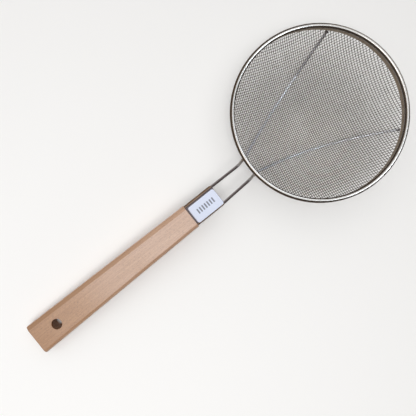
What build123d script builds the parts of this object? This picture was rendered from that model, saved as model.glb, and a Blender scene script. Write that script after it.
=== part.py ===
from build123d import *
from math import acos, atan2, cos, degrees, hypot, radians, sin, sqrt
import os

os.makedirs("parts", exist_ok=True)

# Fine-mesh skimmer: a dished wire cloth in a folded hoop, two support wires that run
# from a sheet-metal shank to the far side of the hoop under the dish, and a flat
# tapered wooden handle with a hanging hole.
#
# Everything is drawn level with the hoop: its centre is the origin, +X runs from the
# handle to the far side of the hoop, +Y to the left, +Z up. The finished pieces are
# then tipped together into the pose in which the skimmer lies on a table, on the
# bottom of its dish and the end of its handle.

# hoop (strip folded over the edge of the cloth and over a core wire)
hoop_outer_diameter = 198.0
bead_diameter = 5.2
strip_thickness = 0.45
skirt_height = 8.5
skirt_rounding = 0.8

# wire cloth dish
cloth_wire_diameter = 0.6
dish_depth = 45.0
dish_lip = 2.0
dish_bend_radius = 4.0
cloth_openings_across = 12
cloth_bar_width = 3.0
cloth_border = 3.0
cloth_turn = -16.4
# how far past the border an opening's middle may lie, in shares of the opening
cut_opening_share = 0.25

# support wires
support_wire_diameter = 3.2
support_wire_spacing = 22.4
shank_drop = 1.0
bend_outboard = 8.0
bend_inboard = 7.0
bend_drop = 1.15
shank_bend_radius = 10.0
dish_turn_radius = 15.0
far_end_inset = 0.6
left_prong_offset = 10.9
right_prong_offset = 9.3
left_under_rim_offset = 12.6
right_under_rim_offset = 8.9
left_far_angle = 43.4
right_far_angle = -48.2
# where each wire passes under the dish, in shares of the bead's centre radius
left_mid_shares = (-0.099, 0.417)
right_mid_shares = (-0.207, -0.320)

# shank (flattened sheet sleeve round both wires, with a tang in the handle)
shank_length = 37.7
shank_to_hoop = 45.3
shank_web_height = 3.4
shank_corner_radius = 2.6
shank_crease_radius = 0.6
tang_width = 16.0
tang_length = 40.0

# handle
handle_length = 215.1
handle_thickness = 16.0
handle_end_width = 35.6
handle_front_width = 28.1
handle_bevel_width = 4.8
handle_bevel_height = 1.5
handle_edge_radius = 2.2
handle_round_radius = 4.4
handle_end_rounding = 0.8
hanging_hole_diameter = 11.6
hanging_hole_from_end = 29.2

# nails through the tang, driven from below
nail_diameter = 2.0
nail_head_diameter = 4.2
nail_head_height = 0.9
nail_cover = 3.0
nail_from_front = 11.0
nail_pitch = 17.0

# paper label on the shank
label_width = 20.5
label_thickness = 0.15
label_corner_radius = 2.2
label_side_shift = 1.4
label_front_margin = 0.3
label_rear_margin = 2.0

# spot welds between the support wires and the hoop
weld_diameter = 3.4
weld_outset = 0.3
weld_drop = 0.7

# fits
slip_fit = 0.05
core_gap = 0.3
seat_gap = 0.12
tang_gap = 0.15
overrun = 1.0

# derived sizes
cloth_thickness = 2 * cloth_wire_diameter
hoop_radius = hoop_outer_diameter / 2
bead_radius = bead_diameter / 2
bead_centre_radius = hoop_radius - bead_radius
core_radius = bead_radius - strip_thickness - core_gap
slot_width = cloth_thickness + 2 * slip_fit
skirt_width = slot_width + 2 * strip_thickness
wire_radius = support_wire_diameter / 2

# the dish is a spherical cap that starts just below the skirt
cap_top = -(skirt_height + dish_lip)
cap_bottom = -(dish_depth - cloth_thickness / 2)
cap_sagitta = cap_top - cap_bottom
cap_radius = (bead_centre_radius**2 + cap_sagitta**2) / (2 * cap_sagitta)
cap_centre_z = cap_bottom + cap_radius
wire_path_radius = cap_radius + cloth_thickness / 2 + seat_gap + wire_radius

shank_front_x = -(sqrt(hoop_radius**2 - (support_wire_spacing / 2) ** 2) + shank_to_hoop)
handle_front_x = shank_front_x - shank_length
handle_end_x = handle_front_x - handle_length
handle_top_z = handle_thickness / 2 - shank_drop
handle_bottom_z = handle_top_z - handle_thickness
hanging_hole_x = handle_end_x + hanging_hole_from_end
sleeve_bore_radius = wire_radius + slip_fit
sleeve_bead_radius = sleeve_bore_radius + strip_thickness
shank_width = support_wire_spacing + 2 * sleeve_bead_radius
label_length = shank_length - label_front_margin - label_rear_margin

# resting pose
cap_outer_radius = cap_radius + cloth_thickness / 2
rest_rise = cap_centre_z - handle_bottom_z - handle_end_rounding
rest_reach = -(handle_end_x + handle_end_rounding)
rest_tilt = atan2(rest_reach, rest_rise) - acos(
    (cap_outer_radius - handle_end_rounding) / hypot(rest_rise, rest_reach)
)
rest_lift = cap_outer_radius - cap_centre_z * cos(rest_tilt)
rest_far_x = bead_centre_radius * cos(rest_tilt) + bead_radius
rest_near_x = (
    (handle_end_x + handle_end_rounding) * cos(rest_tilt)
    - (handle_top_z - handle_end_rounding) * sin(rest_tilt)
    - handle_end_rounding
)
resting = Location(
    (-(rest_far_x + rest_near_x) / 2, 0, rest_lift), (0, -degrees(rest_tilt), 0)
)


def on_path_sphere(x, y):
    """Point of a support wire's centre line where it lies against the dish."""
    return Vector(x, y, cap_centre_z - sqrt(wire_path_radius**2 - x**2 - y**2))


# folded hoop
with BuildPart() as hoop:
    with BuildSketch(Plane.XZ) as hoop_section:
        with Locations((bead_centre_radius, 0)):
            Circle(bead_radius)
            Rectangle(skirt_width, skirt_height, align=(Align.CENTER, Align.MAX))
        inner_corners = hoop_section.vertices().filter_by(
            lambda v: -bead_radius < v.Z < -core_radius and v.Z > -skirt_height
        )
        fillet(inner_corners, skirt_rounding)
        with Locations((bead_centre_radius, 0)):
            Circle(bead_radius - strip_thickness, mode=Mode.SUBTRACT)
            Rectangle(
                slot_width,
                skirt_height + overrun,
                align=(Align.CENTER, Align.MAX),
                mode=Mode.SUBTRACT,
            )
    revolve(axis=Axis.Z)

# core wire inside the hoop's bead
with BuildPart() as core_wire:
    with BuildSketch(Plane.XZ):
        with Locations((bead_centre_radius, 0)):
            Circle(core_radius)
    revolve(axis=Axis.Z)

# wire cloth: a collar between the skirt's two walls, and the dish, with a grid of
# square openings that is far coarser than the cloth's own mesh
with BuildPart() as dish:
    outer_r = bead_centre_radius + cloth_thickness / 2
    inner_r = bead_centre_radius - cloth_thickness / 2
    outer_cap = cap_radius + cloth_thickness / 2
    inner_cap = cap_radius - cloth_thickness / 2
    outer_edge_z = cap_centre_z - sqrt(outer_cap**2 - outer_r**2)
    inner_edge_z = cap_centre_z - sqrt(inner_cap**2 - inner_r**2)
    collar_top = -(core_radius + seat_gap)
    with BuildSketch(Plane.XZ):
        with BuildLine():
            RadiusArc((0, cap_centre_z - outer_cap), (outer_r, outer_edge_z), -outer_cap)
            Line((outer_r, outer_edge_z), (outer_r, collar_top))
            Line((outer_r, collar_top), (inner_r, collar_top))
            Line((inner_r, collar_top), (inner_r, inner_edge_z))
            RadiusArc((inner_r, inner_edge_z), (0, cap_centre_z - inner_cap), inner_cap)
            Line((0, cap_centre_z - inner_cap), (0, cap_centre_z - outer_cap))
        make_face()
    revolve(axis=Axis.Z)
    rings = dish.edges().filter_by(GeomType.CIRCLE)
    bend_outer = [e for e in rings if abs(e.center().Z - outer_edge_z) < slip_fit]
    bend_inner = [e for e in rings if abs(e.center().Z - inner_edge_z) < slip_fit]
    fillet(bend_outer, dish_bend_radius + cloth_thickness)
    fillet(bend_inner, dish_bend_radius)
    field_radius = inner_r - cloth_border
    pitch = 2 * field_radius / cloth_openings_across
    opening = pitch - cloth_bar_width
    grid = GridLocations(pitch, pitch, cloth_openings_across, cloth_openings_across)
    reach = field_radius + cut_opening_share * opening
    places = [place for place in grid if place.position.length < reach]
    with BuildSketch(Plane.XY.offset(-(dish_depth + overrun))):
        with Locations(Location((0, 0, 0), (0, 0, cloth_turn))):
            with Locations(*places):
                Rectangle(opening, opening)
        Circle(field_radius, mode=Mode.INTERSECT)
    extrude(amount=dish_depth + overrun - skirt_height, mode=Mode.SUBTRACT)


def support_wire_points(side, prong_offset, under_rim_offset, far_angle, mid_shares):
    """Corners of a support wire's route, from the handle to the far side."""
    shank_z = -shank_drop
    start = Vector(handle_front_x + seat_gap, side * support_wire_spacing / 2, shank_z)
    mouth = Vector(shank_front_x, side * support_wire_spacing / 2, shank_z)
    corner = Vector(-(hoop_radius + bend_outboard), side * prong_offset, shank_z)
    turn_x = -(hoop_radius - bend_inboard)
    turn_y = side * under_rim_offset
    turn_z = cap_centre_z - sqrt(
        (wire_path_radius + bend_drop) ** 2 - turn_x**2 - turn_y**2
    )
    turn = Vector(turn_x, turn_y, turn_z)
    middle = on_path_sphere(
        mid_shares[0] * bead_centre_radius, mid_shares[1] * bead_centre_radius
    )
    far_radius = bead_centre_radius + far_end_inset
    far = on_path_sphere(
        far_radius * cos(radians(far_angle)), far_radius * sin(radians(far_angle))
    )

    # the arc under the dish lies in the plane through turn, middle and far
    cap_centre = Vector(0, 0, cap_centre_z)
    normal = (middle - turn).cross(far - turn).normalized()
    arc_centre = cap_centre - normal * (cap_centre - turn).dot(normal)
    arc_radius = sqrt(wire_path_radius**2 - (cap_centre - arc_centre).length ** 2)
    towards = turn - arc_centre
    share = arc_radius / towards.length
    along = towards.normalized() * (arc_radius * share)
    across = normal.cross(towards).normalized() * (arc_radius * sqrt(1 - share**2))
    touch = min(
        (arc_centre + along + across, arc_centre + along - across),
        key=lambda point: (point - middle).length,
    )
    return start, mouth, corner, turn, touch, middle, far


left_points = support_wire_points(
    1, left_prong_offset, left_under_rim_offset, left_far_angle, left_mid_shares
)
right_points = support_wire_points(
    -1, right_prong_offset, right_under_rim_offset, right_far_angle, right_mid_shares
)
wire_bend_radii = [2 * shank_bend_radius, shank_bend_radius, dish_turn_radius]

# support wires: prong, drop under the hoop, turn outwards, arc under the dish
with BuildPart() as left_wire:
    with BuildLine() as left_route:
        FilletPolyline(*left_points[:5], radius=wire_bend_radii)
        ThreePointArc(*left_points[4:])
    with BuildSketch(Plane(origin=left_points[0], z_dir=left_points[1] - left_points[0])):
        Circle(wire_radius)
    sweep(path=left_route.wires()[0])

with BuildPart() as right_wire:
    with BuildLine() as right_route:
        FilletPolyline(*right_points[:5], radius=wire_bend_radii)
        ThreePointArc(*right_points[4:])
    with BuildSketch(
        Plane(origin=right_points[0], z_dir=right_points[1] - right_points[0])
    ):
        Circle(wire_radius)
    sweep(path=right_route.wires()[0])

# shank: sheet sleeve, flattened between the wires, and its tang
with BuildPart() as shank:
    shank_plane = Plane.YZ.offset(shank_front_x)
    with BuildSketch(shank_plane) as sleeve_section:
        with Locations((0, -shank_drop)):
            with GridLocations(support_wire_spacing, 0, 2, 1):
                Circle(sleeve_bead_radius)
            Rectangle(support_wire_spacing, shank_web_height)
        creases = sleeve_section.vertices().filter_by(
            lambda v: abs(abs(v.Z + shank_drop) - shank_web_height / 2) < slip_fit
            and abs(v.Y) < support_wire_spacing / 2
        )
        fillet(creases, shank_crease_radius)
    extrude(amount=-shank_length)
    with BuildSketch(Plane.XY.offset(-shank_drop - sleeve_bead_radius)):
        with Locations((shank_front_x, 0)):
            RectangleRounded(
                2 * shank_length,
                shank_width,
                shank_corner_radius,
                align=(Align.MAX, Align.CENTER),
            )
    extrude(amount=2 * sleeve_bead_radius, mode=Mode.INTERSECT)
    with BuildSketch(Plane.YZ.offset(handle_front_x)):
        with Locations((0, -shank_drop)):
            Rectangle(tang_width, shank_web_height)
    extrude(amount=-tang_length)
    with BuildSketch(shank_plane):
        with Locations((0, -shank_drop)):
            with GridLocations(support_wire_spacing, 0, 2, 1):
                Circle(sleeve_bore_radius)
            Rectangle(support_wire_spacing, shank_web_height - 2 * strip_thickness)
    extrude(amount=-shank_length, mode=Mode.SUBTRACT)
    with BuildSketch(Plane.YZ.offset(handle_front_x)):
        with Locations((0, -shank_drop)):
            Rectangle(
                tang_width - 2 * strip_thickness,
                shank_web_height - 2 * strip_thickness,
            )
    extrude(amount=-(tang_length + overrun), mode=Mode.SUBTRACT)
    with Locations(
        *[
            (handle_front_x - nail_from_front - i * nail_pitch, 0, handle_top_z)
            for i in range(2)
        ]
    ):
        Hole(nail_diameter / 2 + slip_fit)


# wooden handle: a tapered plank with bevelled left edges and rounded right edges
with BuildPart() as handle:
    with BuildSketch(Plane.XY.offset(handle_bottom_z)):
        with BuildLine():
            Polyline(
                (handle_front_x, handle_front_width / 2),
                (handle_end_x, handle_end_width / 2),
                (handle_end_x, -handle_end_width / 2),
                (handle_front_x, -handle_front_width / 2),
                close=True,
            )
        make_face()
    extrude(amount=handle_thickness)
    right_side = handle.faces().sort_by(Axis.Y)[0]
    fillet(right_side.edges().sort_by(SortBy.LENGTH)[-2:], handle_round_radius)
    for level in range(2):
        broad_face = handle.faces().filter_by(Axis.Z).sort_by(Axis.Z)[-level]
        chamfer(
            broad_face.edges().sort_by(Axis.Y)[-1],
            handle_bevel_width,
            handle_bevel_height,
            reference=broad_face,
        )
    left_side = handle.faces().sort_by(Axis.Y)[-1]
    fillet(left_side.edges().sort_by(SortBy.LENGTH)[-2:], handle_edge_radius)
    end_edges = handle.faces().sort_by(Axis.X)[0].edges()
    fillet(end_edges, handle_end_rounding)
    with BuildSketch(Plane.YZ.offset(handle_front_x)):
        with Locations((0, -shank_drop)):
            Rectangle(tang_width + 2 * tang_gap, shank_web_height + 2 * tang_gap)
    extrude(amount=-(tang_length + tang_gap), mode=Mode.SUBTRACT)
    with Locations((hanging_hole_x, 0, handle_top_z)):
        Hole(hanging_hole_diameter / 2)
    for i in range(2):
        nail_x = handle_front_x - nail_from_front - i * nail_pitch
        with Locations(Location((nail_x, 0, handle_bottom_z), (180, 0, 0))):
            CounterBoreHole(
                nail_diameter / 2 + slip_fit,
                nail_head_diameter / 2 + slip_fit,
                nail_head_height + slip_fit,
                depth=handle_thickness - nail_cover + slip_fit,
            )

# nails
with BuildPart() as nails:
    for i in range(2):
        nail_x = handle_front_x - nail_from_front - i * nail_pitch
        with BuildSketch(Plane.XY.offset(handle_bottom_z)):
            with Locations((nail_x, 0)):
                Circle(nail_head_diameter / 2)
        extrude(amount=nail_head_height)
        with BuildSketch(Plane.XY.offset(handle_bottom_z + nail_head_height)):
            with Locations((nail_x, 0)):
                Circle(nail_diameter / 2)
        extrude(amount=handle_thickness - nail_cover - nail_head_height)

# paper label, laid over the flat of the shank and one of its wires
with BuildPart() as label:
    label_low_y = -label_width / 2 - label_side_shift
    with BuildSketch(Plane.YZ.offset(shank_front_x - label_front_margin)) as skin:
        with Locations((0, -shank_drop)):
            with GridLocations(support_wire_spacing, 0, 2, 1):
                Circle(sleeve_bead_radius + label_thickness)
            Rectangle(support_wire_spacing, shank_web_height + 2 * label_thickness)
            with GridLocations(support_wire_spacing, 0, 2, 1):
                Circle(sleeve_bead_radius, mode=Mode.SUBTRACT)
            Rectangle(support_wire_spacing, shank_web_height, mode=Mode.SUBTRACT)
        with Locations((label_low_y, -shank_drop)):
            Rectangle(
                label_width,
                sleeve_bead_radius + overrun,
                align=(Align.MIN, Align.MIN),
                mode=Mode.INTERSECT,
            )
    extrude(amount=-label_length)
    with BuildSketch(Plane.XY.offset(-shank_drop)):
        with Locations((shank_front_x - label_front_margin, label_low_y)):
            RectangleRounded(
                label_length,
                label_width,
                label_corner_radius,
                align=(Align.MAX, Align.MIN),
            )
    extrude(amount=sleeve_bead_radius + overrun, mode=Mode.INTERSECT)

# spot welds: one at each place where a support wire passes under the hoop
weld_spots = []
weld_ring_radius = bead_centre_radius + skirt_width / 2 + weld_outset
for points in (left_points, right_points):
    corner, turn, far = points[2], points[3], points[6]
    corner_r = hypot(corner.X, corner.Y)
    crossing = corner + (turn - corner) * (
        (corner_r - weld_ring_radius) / (corner_r - hypot(turn.X, turn.Y))
    )
    weld_spots += [(crossing.X, crossing.Y), (far.X, far.Y)]

with BuildPart() as welds:
    for spot_x, spot_y in weld_spots:
        grow = weld_ring_radius / hypot(spot_x, spot_y)
        with Locations((spot_x * grow, spot_y * grow, -(skirt_height + weld_drop))):
            Sphere(weld_diameter / 2)
    for touching in (hoop, dish, left_wire, right_wire):
        add(touching.part, mode=Mode.SUBTRACT)

# every piece is tipped into the resting pose and written
hoop.part.label = "rim_hoop"
hoop.part.location = resting
export_step(hoop.part, "parts/rim_hoop.step")

core_wire.part.label = "rim_core_wire"
core_wire.part.location = resting
export_step(core_wire.part, "parts/rim_core_wire.step")

dish.part.label = "mesh_dish"
dish.part.location = resting
export_step(dish.part, "parts/mesh_dish.step")

left_wire.part.label = "left_support_wire"
left_wire.part.location = resting
export_step(left_wire.part, "parts/left_support_wire.step")

right_wire.part.label = "right_support_wire"
right_wire.part.location = resting
export_step(right_wire.part, "parts/right_support_wire.step")

welds.part.label = "spot_welds"
welds.part.location = resting
export_step(welds.part, "parts/spot_welds.step")

shank.part.label = "shank_sleeve"
shank.part.location = resting
export_step(shank.part, "parts/shank_sleeve.step")

handle.part.label = "wooden_handle"
handle.part.location = resting
export_step(handle.part, "parts/wooden_handle.step")

nails.part.label = "tang_nails"
nails.part.location = resting
export_step(nails.part, "parts/tang_nails.step")

label.part.label = "paper_label"
label.part.location = resting
export_step(label.part, "parts/paper_label.step")
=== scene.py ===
from math import asin, cos, hypot, pi, radians, sin, sqrt

import bmesh
import bpy
from mathutils import Matrix, Vector


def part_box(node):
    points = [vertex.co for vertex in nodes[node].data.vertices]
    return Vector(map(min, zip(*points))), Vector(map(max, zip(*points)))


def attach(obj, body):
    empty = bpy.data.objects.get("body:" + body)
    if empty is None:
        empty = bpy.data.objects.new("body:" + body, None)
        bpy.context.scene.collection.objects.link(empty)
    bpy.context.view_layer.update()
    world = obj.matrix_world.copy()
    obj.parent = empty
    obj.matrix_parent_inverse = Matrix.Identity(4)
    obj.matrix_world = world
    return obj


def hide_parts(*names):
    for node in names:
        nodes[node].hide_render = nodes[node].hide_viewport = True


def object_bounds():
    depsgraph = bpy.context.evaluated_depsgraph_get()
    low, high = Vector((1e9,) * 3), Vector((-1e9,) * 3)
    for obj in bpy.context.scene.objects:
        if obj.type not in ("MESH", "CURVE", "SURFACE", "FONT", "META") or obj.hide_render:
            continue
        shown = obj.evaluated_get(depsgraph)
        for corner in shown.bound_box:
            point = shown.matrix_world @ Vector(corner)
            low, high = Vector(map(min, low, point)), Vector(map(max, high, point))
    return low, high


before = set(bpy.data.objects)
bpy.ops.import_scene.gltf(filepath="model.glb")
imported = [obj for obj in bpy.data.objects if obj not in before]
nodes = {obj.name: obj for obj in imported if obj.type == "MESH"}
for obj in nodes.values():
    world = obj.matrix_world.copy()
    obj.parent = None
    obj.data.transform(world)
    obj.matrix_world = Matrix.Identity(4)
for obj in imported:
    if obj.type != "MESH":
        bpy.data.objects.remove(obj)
cad_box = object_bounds()

# Lengths are in metres. The places below are on the dish as it is made, level:
# the middle of the bead's ring is the origin, +X points away from the handle,
# +Y to the left seen from the handle, and +Z up.
BEAD_RING = 0.0964
CORE_WIRE_RADIUS = 0.00185

# the dished cap of the wire cloth, and the bend up into its collar; the cap would
# reach the collar CAP_EDGE below the bead's ring if there were no bend
CLOTH_WIRE = 0.0006
DISH_DEPTH = 0.045
CAP_EDGE = 0.0105
BEND_RADIUS = 0.004 + CLOTH_WIRE
CAP_DEPTH = DISH_DEPTH - CLOTH_WIRE - CAP_EDGE
CAP_RADIUS = (BEAD_RING**2 + CAP_DEPTH**2) / (2 * CAP_DEPTH)
CAP_CENTRE = CAP_RADIUS - DISH_DEPTH + CLOTH_WIRE

# the weave
CLOTH_PITCH = 0.00254
CLOTH_TURN = radians(-16.4)
WIRES_EACH_SIDE = 37
SPARE_PITCHES = 2
POINTS_PER_PITCH = 3
TUCK = 0.004

# where the painted shade, painted reflections and painted highlights on the hoop and
# the support wires start and end; the NECK ranges hold the painted glint just before a
# wire passes under the hoop
BEAD_TOP_RISE = (0.0, 0.2)
BEAD_OUTER_EDGE = (BEAD_RING - 0.0002, BEAD_RING + 0.0008)
BEAD_INNER_EDGE = (BEAD_RING - 0.0010, BEAD_RING - 0.0016)
WALL_RING = (BEAD_RING - 0.0006, BEAD_RING - 0.0009)
WALL_TOP = (-0.002, -0.0026)
UNDER_DISH = (BEAD_RING, BEAD_RING - 0.004)
NECK_START = (-0.1085, -0.102)
NECK_END = (-0.094, -0.098)
NEAR_HOOP = (-0.04, -0.075)
LEFT_END = (0.01, 0.03)
RIGHT_END = (-0.012, 0.02)
LEFT_OF_MIDDLE = (0.0, 0.005)
RIGHT_OF_MIDDLE = (0.0, -0.005)

# the sleeve, from its middle line out to where it wraps the two wires
SLEEVE_ON_WIRE = (0.0106, 0.0116)

# the handle's wood, from the shank's end to the hanging hole's end, and the hole
HANDLE_TONES = (-0.17, -0.40)
HOLE_PLACE = (-0.36726, 0.0, 0.0)
HOLE_RADIUS = 0.0058
HOLE_SOFT_EDGE = 0.0003

# the label's row of plain bars
BAR_PITCH = 0.0034
BARS_MIDDLE = (-0.1614, -0.001)
BARS_SIZE = (0.0238, 0.0062)
BAR_SOFT_END = 0.0002

# the camera: its place, the way to the picture's right, its lens and its shift
CAMERA_PLACE = (-0.1654, 0.0288, 0.396)
PICTURE_RIGHT = (0.7807, -0.6248, 0)
SENSOR_WIDTH = 36
FOCAL_LENGTH = 31.154
PICTURE_SHIFT = (0.0529, -0.0517)

# how the level dish lies when the skimmer rests on the table
core_low, core_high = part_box("rim_core_wire")
hoop_centre = (core_low + core_high) / 2
tilt = asin(((core_high.z - core_low.z) / 2 - CORE_WIRE_RADIUS) / BEAD_RING)
resting = Matrix.Translation(hoop_centre) @ Matrix.Rotation(-tilt, 4, "Y")


def deselect():
    bpy.ops.object.select_all(action="DESELECT")


def srgb(red, green, blue):
    """A colour given in 0 to 255 steps, as a shader wants it."""
    steps = [c / 255 for c in (red, green, blue)]
    return tuple(
        c / 12.92 if c < 0.04045 else ((c + 0.055) / 1.055) ** 2.4 for c in steps
    ) + (1.0,)


def grey(strength):
    """A plain grey, as a share of full white light."""
    return (strength, strength, strength, 1)


# shader nodes
def node(tree, kind, settings=None, inputs=None):
    """A new shader node, its settings made and its inputs set or linked."""
    made = tree.nodes.new(kind)
    for key, value in (settings or {}).items():
        setattr(made, key, value)
    for key, value in (inputs or {}).items():
        if isinstance(value, bpy.types.NodeSocket):
            tree.links.new(value, made.inputs[key])
        else:
            made.inputs[key].default_value = value
    return made


def maths(tree, operation, first, second=0.0):
    """The result of one sum."""
    made = node(tree, "ShaderNodeMath", {"operation": operation}, {0: first, 1: second})
    return made.outputs[0]


def times(tree, first, second):
    return maths(tree, "MULTIPLY", first, second)


def vector_maths(tree, operation, first, second=(0.0, 0.0, 0.0)):
    """The two results of one sum on vectors: a vector, and a value."""
    made = node(
        tree, "ShaderNodeVectorMath", {"operation": operation}, {0: first, 1: second}
    )
    return made.outputs


def remap(tree, value, low, high, to_low=0.0, to_high=1.0):
    """value's range from low to high, spread over to_low to to_high and held there."""
    made = node(
        tree,
        "ShaderNodeMapRange",
        {"interpolation_type": "SMOOTHSTEP"},
        {0: value, 1: low, 2: high, 3: to_low, 4: to_high},
    )
    return made.outputs[0]


def blend(tree, share, first, second):
    """first where share is 0, second where it is 1."""
    made = node(
        tree, "ShaderNodeMix", {"data_type": "RGBA"}, {0: share, 6: first, 7: second}
    )
    return made.outputs[2]


def split(tree, vector):
    """The three parts of a vector."""
    return node(tree, "ShaderNodeSeparateXYZ", inputs={0: vector}).outputs


def join(tree, x, y, z=0.0):
    """A vector from its three parts."""
    return node(tree, "ShaderNodeCombineXYZ", inputs={0: x, 1: y, 2: z}).outputs[0]


def surface_normal(tree):
    return node(tree, "ShaderNodeNewGeometry").outputs["Normal"]


def from_centre(tree, x, y):
    """How far a point is from the hoop's middle line."""
    return vector_maths(tree, "LENGTH", join(tree, x, y))[1]


# patterns that several materials share
def new_group(name, inputs, output):
    """An empty node group with its sockets, and its two end nodes."""
    group = bpy.data.node_groups.new(name, "ShaderNodeTree")
    for label, value in inputs:
        kind = "NodeSocketVector" if value is None else "NodeSocketFloat"
        socket = group.interface.new_socket(
            name=label, in_out="INPUT", socket_type=kind
        )
        if value is not None:
            socket.default_value = value
    group.interface.new_socket(
        name=output, in_out="OUTPUT", socket_type="NodeSocketFloat"
    )
    return group, group.nodes.new("NodeGroupInput"), group.nodes.new("NodeGroupOutput")


def make_lines_group():
    """Long fine lines along X: wood fibres, or the drawing lines on steel."""
    group, start, end = new_group(
        "long_lines",
        [("Vector", None), ("Across", 1000.0), ("Along", 20.0), ("Detail", 3.0)],
        "Lines",
    )
    across = start.outputs["Across"]
    stretch = join(group, start.outputs["Along"], across, across)
    place = vector_maths(group, "MULTIPLY", start.outputs["Vector"], stretch)[0]
    noise = node(
        group,
        "ShaderNodeTexNoise",
        inputs={
            "Vector": place,
            "Scale": 1.0,
            "Detail": start.outputs["Detail"],
            "Roughness": 0.55,
        },
    )
    group.links.new(remap(group, noise.outputs[0], 0.3, 0.7), end.inputs["Lines"])
    return group


def make_patches_group():
    """Soft uneven patches of the given size."""
    group, start, end = new_group(
        "soft_patches", [("Vector", None), ("Per metre", 30.0)], "Patches"
    )
    noise = node(
        group,
        "ShaderNodeTexNoise",
        inputs={
            "Vector": start.outputs["Vector"],
            "Scale": start.outputs["Per metre"],
            "Detail": 3.0,
            "Roughness": 0.6,
        },
    )
    group.links.new(remap(group, noise.outputs[0], 0.32, 0.68), end.inputs["Patches"])
    return group


long_lines = make_lines_group()
soft_patches = make_patches_group()


def use(tree, group, **inputs):
    """One of the shared groups, placed in a material with its own values."""
    named = {key.replace("_", " "): value for key, value in inputs.items()}
    return node(tree, "ShaderNodeGroup", {"node_tree": group}, named).outputs[0]


# materials
def new_material(name):
    """A material with only its shader, and the object's place on the level dish."""
    material = bpy.data.materials.new(name)
    material.use_nodes = True
    tree = material.node_tree
    tree.nodes.clear()
    shader = node(tree, "ShaderNodeBsdfPrincipled")
    node(tree, "ShaderNodeOutputMaterial", inputs={0: shader.outputs[0]})
    where = node(tree, "ShaderNodeTexCoord")
    level = node(
        tree,
        "ShaderNodeMapping",
        inputs={
            "Vector": where.outputs["Object"],
            "Location": -(Matrix.Rotation(tilt, 3, "Y") @ hoop_centre),
            "Rotation": (0.0, tilt, 0.0),
        },
    )
    return material, tree, shader, level.outputs[0]


def set_bump(tree, shader, height, strength, distance):
    bump = node(
        tree,
        "ShaderNodeBump",
        inputs={"Strength": strength, "Distance": distance, "Height": height},
    )
    tree.links.new(bump.outputs[0], shader.inputs["Normal"])


def make_steel(name, bright, dull, roughness, along, grain=0.15):
    """Drawn or rolled stainless steel with drawing lines and dull patches."""
    material, tree, shader, place = new_material(name)
    lines = use(tree, long_lines, Vector=place, Across=4000.0, Along=along)
    patches = use(tree, soft_patches, Vector=place, Per_metre=60.0)
    colour = blend(tree, times(tree, patches, 0.6), bright, dull)
    shader.inputs["Metallic"].default_value = 1.0
    shader.inputs["Specular Tint"].default_value = (0.5, 0.48, 0.46, 1.0)
    rough = maths(tree, "ADD", times(tree, lines, 0.12), roughness)
    rough = maths(tree, "ADD", rough, times(tree, patches, 0.08))
    tree.links.new(rough, shader.inputs["Roughness"])
    tree.links.new(colour, shader.inputs["Base Color"])
    set_bump(tree, shader, lines, grain, 0.00004)
    return material, tree, shader, place, colour


def make_hoop_steel():
    """The folded strip: its bead bright on top, its shoulders painted dark as painted
    shade and dark reflection, its inner wall a dull brown as painted shade and brown
    reflection.
    """
    material, tree, shader, place, colour = make_steel(
        "hoop_steel",
        bright=srgb(206, 204, 201),
        dull=srgb(180, 176, 171),
        roughness=0.16,
        along=300.0,
        grain=0.05,
    )
    x, y, height = split(tree, place)
    far = from_centre(tree, x, y)

    # painted shade and dark reflection: the bead's shoulders either side of its bright top
    # are painted dark brown
    straight_up = (-sin(tilt), 0.0, cos(tilt))
    rise = vector_maths(tree, "DOT_PRODUCT", surface_normal(tree), straight_up)[1]
    outer = remap(tree, far, *BEAD_OUTER_EDGE)
    inner = remap(tree, far, *BEAD_INNER_EDGE)
    edges = times(
        tree, maths(tree, "MAXIMUM", outer, inner), remap(tree, rise, *BEAD_TOP_RISE)
    )
    dark = blend(tree, inner, srgb(80, 68, 58), srgb(92, 80, 70))
    colour = blend(tree, edges, colour, dark)

    # painted shade and brown reflection: the inner wall below the bead is painted a dull
    # brown and made less metal
    wall = times(tree, remap(tree, far, *WALL_RING), remap(tree, height, *WALL_TOP))
    colour = blend(tree, wall, colour, srgb(176, 160, 142))
    tree.links.new(colour, shader.inputs["Base Color"])
    metal = remap(tree, wall, 0.0, 1.0, 1.0, 0.35)
    tree.links.new(metal, shader.inputs["Metallic"])
    return material


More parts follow.
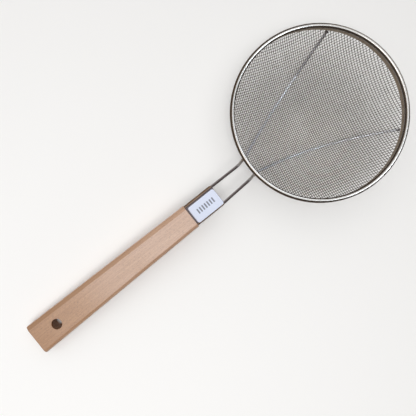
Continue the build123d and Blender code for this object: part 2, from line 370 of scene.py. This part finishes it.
def make_wire_steel():
    """The two support wires: dark prongs, a painted dark reflection, with a painted
    highlight on their left and a painted glint close to the hoop.

    Under the dish they carry a bright bluish painted reflection, greyer near the
    prongs and darker at the far ends, the left one most, as painted shade.
    """
    material, tree, shader, place, colour = make_steel(
        "support_wire_steel",
        bright=srgb(78, 69, 68),
        dull=srgb(62, 54, 53),
        roughness=0.24,
        along=60.0,
    )
    x, y, _ = split(tree, place)
    far = from_centre(tree, x, y)

    # painted highlight along each wire's left side, set by which way its surface faces
    sideways = split(tree, surface_normal(tree))[1]
    left_highlight = times(tree, remap(tree, sideways, 0.3, 0.75), 0.65)
    colour = blend(tree, left_highlight, colour, srgb(205, 198, 196))
    # painted glint on each wire just before it passes under the hoop
    neck_glint = times(
        tree, remap(tree, x, *NECK_START, 0.0, 0.75), remap(tree, x, *NECK_END)
    )
    colour = blend(tree, neck_glint, colour, srgb(222, 218, 214))

    # painted shade: the far ends under the dish, the left one most, lose part of the
    # painted reflection
    left_far_shade = times(
        tree, remap(tree, x, *LEFT_END), remap(tree, y, *LEFT_OF_MIDDLE)
    )
    right_far_shade = times(
        tree, remap(tree, x, *RIGHT_END), remap(tree, y, *RIGHT_OF_MIDDLE)
    )
    # painted reflection: the wires under the dish are painted bright and bluish, greyer
    # near the prongs
    bright_under_dish = times(
        tree,
        remap(tree, far, *UNDER_DISH),
        remap(tree, left_far_shade, 0.0, 1.0, 1.0, 0.3),
    )
    bright_under_dish = times(tree, bright_under_dish, remap(tree, right_far_shade, 0.0, 1.0, 1.0, 0.75))
    near_hoop = remap(tree, x, *NEAR_HOOP)
    under_dish_tone = blend(tree, near_hoop, srgb(246, 249, 255), srgb(216, 219, 228))
    colour = blend(tree, bright_under_dish, colour, under_dish_tone)
    tree.links.new(colour, shader.inputs["Base Color"])
    under_dish_metal = remap(tree, near_hoop, 0.0, 1.0, 0.8, 0.3)
    metal = remap(tree, bright_under_dish, 0.0, 1.0, 1.0, under_dish_metal)
    tree.links.new(metal, shader.inputs["Metallic"])
    return material


def make_sleeve_steel():
    """The sleeve's sheet: tan over the two wires, a painted reflection, and dark on the
    flat, painted shade.
    """
    material, tree, shader, place, tan_reflection = make_steel(
        "sleeve_steel",
        bright=srgb(118, 96, 78),
        dull=srgb(98, 79, 64),
        roughness=0.3,
        along=60.0,
    )
    # painted tan reflection over the wires, painted shade on the flat between them
    from_middle = maths(tree, "ABSOLUTE", split(tree, place)[1])
    on_wire = remap(tree, from_middle, *SLEEVE_ON_WIRE)
    colour = blend(tree, on_wire, srgb(74, 68, 70), tan_reflection)
    tree.links.new(colour, shader.inputs["Base Color"])
    return material


def make_wood():
    """Pale beech with long fibres, bands and short darker flecks, and an oiled face.

    It is browner towards the hanging hole. Its bevelled left edge and its round
    right edge are painted browner as painted shade, and its bore darker as painted shade.
    """
    material, tree, shader, place = new_material("beech")
    fibres = use(tree, long_lines, Vector=place, Across=1700.0, Along=30.0, Detail=4.0)
    bands = use(tree, long_lines, Vector=place, Across=420.0, Along=16.0, Detail=3.0)
    flecks = use(tree, long_lines, Vector=place, Across=1700.0, Along=330.0, Detail=1.0)
    tone = use(tree, soft_patches, Vector=place, Per_metre=16.0)
    x, y, _ = split(tree, place)

    towards_hole = remap(tree, x, *HANDLE_TONES)
    colour = blend(tree, towards_hole, srgb(188, 148, 117), srgb(180, 137, 99))
    darker = blend(tree, towards_hole, srgb(162, 119, 86), srgb(158, 114, 78))
    colour = blend(tree, times(tree, bands, 0.5), colour, darker)
    colour = blend(tree, times(tree, fibres, 0.6), colour, darker)
    fleck = times(tree, remap(tree, flecks, 0.72, 0.95), 0.5)
    colour = blend(tree, fleck, colour, srgb(122, 86, 62))
    colour = blend(tree, times(tree, tone, 0.25), colour, srgb(182, 147, 124))

    # painted shade: the bevelled left edge, found by which way it faces, is painted
    # browner, more so towards the hole
    sideways = split(tree, surface_normal(tree))[1]
    bevel_shade = times(tree, remap(tree, sideways, 0.12, 0.26), towards_hole)
    colour = blend(tree, bevel_shade, colour, srgb(150, 107, 68))
    # painted shade on the round right edge, found by which way it faces
    round_edge_shade = times(tree, remap(tree, sideways, -0.5, -0.85), 0.35)
    colour = blend(tree, round_edge_shade, colour, srgb(132, 94, 66))

    # painted shade: the bore's wall is painted dark brown
    from_hole = vector_maths(tree, "DISTANCE", join(tree, x, y), HOLE_PLACE)[1]
    in_bore = remap(tree, from_hole, HOLE_RADIUS + HOLE_SOFT_EDGE, HOLE_RADIUS)
    colour = blend(tree, in_bore, colour, srgb(142, 96, 60))
    tree.links.new(colour, shader.inputs["Base Color"])

    rough = maths(tree, "ADD", times(tree, fibres, 0.1), 0.4)
    tree.links.new(rough, shader.inputs["Roughness"])
    oil = maths(tree, "SUBTRACT", 1.0, in_bore)
    tree.links.new(oil, shader.inputs["Coat Weight"])
    shader.inputs["Coat Roughness"].default_value = 0.3
    set_bump(tree, shader, fibres, 0.3, 0.0001)
    return material


def within(tree, value, middle, length):
    """1 over the given length around middle, and 0 outside it."""
    off_middle = maths(tree, "ABSOLUTE", maths(tree, "SUBTRACT", value, middle))
    return remap(tree, off_middle, length / 2, length / 2 - BAR_SOFT_END)


def make_paper():
    """White label paper, faintly blue and a little uneven, with a row of plain bars."""
    material, tree, shader, place = new_material("label_paper")
    pulp = use(tree, soft_patches, Vector=place, Per_metre=900.0)
    wave = use(tree, soft_patches, Vector=place, Per_metre=70.0)
    white = blend(
        tree, times(tree, pulp, 0.25), srgb(217, 224, 242), srgb(204, 210, 230)
    )
    colour = blend(tree, times(tree, wave, 0.25), white, srgb(208, 214, 232))

    x, y, _ = split(tree, place)
    stripe = maths(tree, "PINGPONG", x, BAR_PITCH / 2)
    bars = remap(tree, stripe, BAR_PITCH * 0.2, BAR_PITCH * 0.3)
    bars = times(tree, bars, within(tree, x, BARS_MIDDLE[0], BARS_SIZE[0]))
    bars = times(tree, bars, within(tree, y, BARS_MIDDLE[1], BARS_SIZE[1]))
    colour = blend(tree, times(tree, bars, 0.8), colour, srgb(70, 72, 84))
    tree.links.new(colour, shader.inputs["Base Color"])

    rough = maths(tree, "ADD", times(tree, pulp, 0.1), 0.45)
    tree.links.new(rough, shader.inputs["Roughness"])
    set_bump(tree, shader, wave, 0.3, 0.00015)
    return material


def dress(obj, material):
    obj.data.materials.clear()
    obj.data.materials.append(material)


hoop_steel = make_hoop_steel()
wire_steel = make_wire_steel()
# painted shade: the cloth's wires are painted far darker and browner than bare steel
cloth_steel = make_steel(
    "cloth_steel", srgb(94, 78, 64), srgb(72, 58, 47), roughness=0.1, along=60.0
)[0]
weld_steel = make_steel(
    "weld_steel", srgb(170, 164, 158), srgb(130, 112, 96), roughness=0.36, along=400.0
)[0]

dress(nodes["rim_hoop"], hoop_steel)
dress(nodes["rim_core_wire"], wire_steel)
dress(nodes["left_support_wire"], wire_steel)
dress(nodes["right_support_wire"], wire_steel)
dress(nodes["shank_sleeve"], make_sleeve_steel())
dress(nodes["tang_nails"], weld_steel)
dress(nodes["spot_welds"], weld_steel)
dress(nodes["mesh_dish"], cloth_steel)
dress(nodes["wooden_handle"], make_wood())
dress(nodes["paper_label"], make_paper())


# wire cloth
def drape(x, y, lift):
    """Where a point of the flat cloth goes on the level dish, lift above its middle.

    From its middle outwards the cloth is a cap, a bend and an upright collar.
    """
    far = hypot(x, y)
    bend_ring = BEAD_RING - BEND_RADIUS
    cap_share = bend_ring / (CAP_RADIUS - BEND_RADIUS)
    bend_height = CAP_CENTRE - sqrt((CAP_RADIUS - BEND_RADIUS) ** 2 - bend_ring**2)
    if far < cap_share * CAP_RADIUS:
        deep = sqrt(CAP_RADIUS**2 - far**2)
        ring, height = far, CAP_CENTRE - deep
        out, up = -far / CAP_RADIUS, deep / CAP_RADIUS
    elif far < BEAD_RING:
        deep = sqrt(BEND_RADIUS**2 - (far - bend_ring) ** 2)
        ring, height = far, bend_height - deep
        out, up = -(far - bend_ring) / BEND_RADIUS, deep / BEND_RADIUS
    else:
        ring, height = BEAD_RING, bend_height + far - BEAD_RING
        out, up = -1.0, 0.0
    ring += out * lift
    height += up * lift
    grow = ring / far if far else 1.0
    return Vector((x * grow, y * grow, height))


def weave(name, turn, over):
    """One set of the cloth's wires, all running one way, as a single piece."""
    reach = (WIRES_EACH_SIDE + SPARE_PITCHES) * CLOTH_PITCH
    gaps = 2 * WIRES_EACH_SIDE
    deselect()
    bpy.ops.mesh.primitive_grid_add(
        x_subdivisions=2 * (WIRES_EACH_SIDE + SPARE_PITCHES) * POINTS_PER_PITCH,
        y_subdivisions=gaps,
        size=1,
    )
    cloth = bpy.context.active_object
    cloth.name = name
    cloth.data.name = name
    cloth.scale = (2 * reach, gaps * CLOTH_PITCH, 1)
    bpy.ops.object.transform_apply(location=False, rotation=False, scale=True)

    # only the long lines of the grid stay, out to where the hoop's strip holds them
    bpy.ops.object.mode_set(mode="EDIT")
    bpy.ops.mesh.select_all(action="SELECT")
    bpy.ops.mesh.delete(type="ONLY_FACE")
    bpy.ops.mesh.select_mode(type="EDGE")
    bpy.ops.mesh.select_all(action="DESELECT")
    sheet = bmesh.from_edit_mesh(cloth.data)
    for edge in sheet.edges:
        first, last = edge.verts
        edge.select_set(abs(first.co.y - last.co.y) > CLOTH_PITCH / 2)
    bmesh.update_edit_mesh(cloth.data)
    bpy.ops.mesh.delete(type="EDGE")
    bpy.ops.mesh.select_mode(type="VERT")
    bpy.ops.mesh.select_all(action="DESELECT")
    sheet = bmesh.from_edit_mesh(cloth.data)
    for point in sheet.verts:
        point.select_set(point.co.xy.length > BEAD_RING + TUCK)
    bmesh.update_edit_mesh(cloth.data)
    bpy.ops.mesh.delete(type="VERT")
    bpy.ops.object.mode_set(mode="OBJECT")

    # each wire goes over and under the ones it crosses, and lies on the dish
    for point in cloth.data.vertices:
        along, across = point.co.x, point.co.y
        row = round(across / CLOTH_PITCH)
        lift = over * (-1) ** row * cos(pi * along / CLOTH_PITCH) * CLOTH_WIRE / 2
        x = along * cos(turn) - across * sin(turn)
        y = along * sin(turn) + across * cos(turn)
        point.co = resting @ drape(x, y, lift)

    # the lines become round wires
    bpy.ops.object.convert(target="CURVE")
    cloth = bpy.context.active_object
    cloth.data.bevel_depth = CLOTH_WIRE / 2
    cloth.data.bevel_resolution = 1
    cloth.data.use_fill_caps = True
    bpy.ops.object.convert(target="MESH")
    cloth = bpy.context.active_object
    bpy.ops.object.shade_smooth()
    dress(cloth, cloth_steel)
    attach(cloth, "root")
    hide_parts("mesh_dish")


weave("cloth_warp", CLOTH_TURN, over=1)
weave("cloth_weft", CLOTH_TURN + pi / 2, over=-1)

# floor
deselect()
bpy.ops.mesh.primitive_plane_add(size=12, location=(0, 0, cad_box[0].z))
floor = bpy.context.active_object
floor.name = "floor"
floor_paint, _, floor_shader, _ = new_material("floor_paint")
floor_shader.inputs["Base Color"].default_value = (0.95, 0.94, 0.925, 1)
floor_shader.inputs["Roughness"].default_value = 0.9
floor_shader.inputs["Specular IOR Level"].default_value = 0.1
dress(floor, floor_paint)

# studio: grey at the horizon, walls from dark on one side to mid grey on the other,
# and a white ceiling that leans to one side
studio = bpy.data.worlds.new("studio")
bpy.context.scene.world = studio
studio.use_nodes = True
room = studio.node_tree
room.nodes.clear()
_, aside, rise = split(room, node(room, "ShaderNodeTexCoord").outputs["Generated"])
leant = maths(room, "ADD", rise, times(room, aside, 0.25))
wall = blend(room, remap(room, aside, -0.3, 0.5), grey(0.08), (0.5, 0.5, 0.51, 1))
sky = blend(room, remap(room, rise, 0.24, 0.34), grey(0.62), wall)
sky = blend(room, remap(room, leant, 0.58, 0.84), sky, grey(1.0))
backdrop = node(room, "ShaderNodeBackground", inputs={0: sky, 1: 1.06})
node(room, "ShaderNodeOutputWorld", inputs={0: backdrop.outputs[0]})


# lamps
def soft_light(name, place, aim, size, power, tint=(1, 1, 1), lights_all=True):
    """A soft box of the given width and depth at place, turned towards aim."""
    deselect()
    bpy.ops.object.light_add(type="AREA", location=place)
    lamp = bpy.context.active_object
    lamp.name = name
    lamp.data.shape = "RECTANGLE"
    lamp.data.size, lamp.data.size_y = size
    lamp.data.energy = power
    lamp.data.color = tint
    lamp.visible_diffuse = lights_all
    lamp.visible_camera = False
    towards = Vector(aim) - Vector(place)
    lamp.rotation_euler = towards.to_track_quat("-Z", "Y").to_euler()


soft_light("overhead_box", (-0.36, -0.08, 1.1), (-0.36, -0.08, 0), (0.7, 0.5), 4.6)

# two pale blue lamps that only the steel and the oiled wood reflect
pale_blue = (0.82, 0.91, 1)
soft_light(
    "window", (0.47, -0.61, 1.05), (0.15, 0, 0), (0.5, 0.18), 6.0, pale_blue, False
)
soft_light(
    "far_window", (1.5, 0, 0.8), (0.1, 0, 0), (1.4, 0.7), 12.0, pale_blue, False
)

# camera: it looks straight down on the level dish
deselect()
bpy.ops.object.camera_add()
camera = bpy.context.active_object
turn_to_rest = resting.to_3x3()
right = (turn_to_rest @ Vector(PICTURE_RIGHT)).normalized()
back = (turn_to_rest @ Vector((0, 0, 1))).normalized()
turned = Matrix((right, back.cross(right), back)).transposed().to_4x4()
camera.matrix_world = Matrix.Translation(resting @ Vector(CAMERA_PLACE)) @ turned
camera.data.sensor_width = SENSOR_WIDTH
camera.data.lens = FOCAL_LENGTH
camera.data.shift_x, camera.data.shift_y = PICTURE_SHIFT
camera.data.clip_start = 0.01
bpy.context.scene.camera = camera

bpy.context.scene.view_settings.view_transform = "Standard"

deselect()
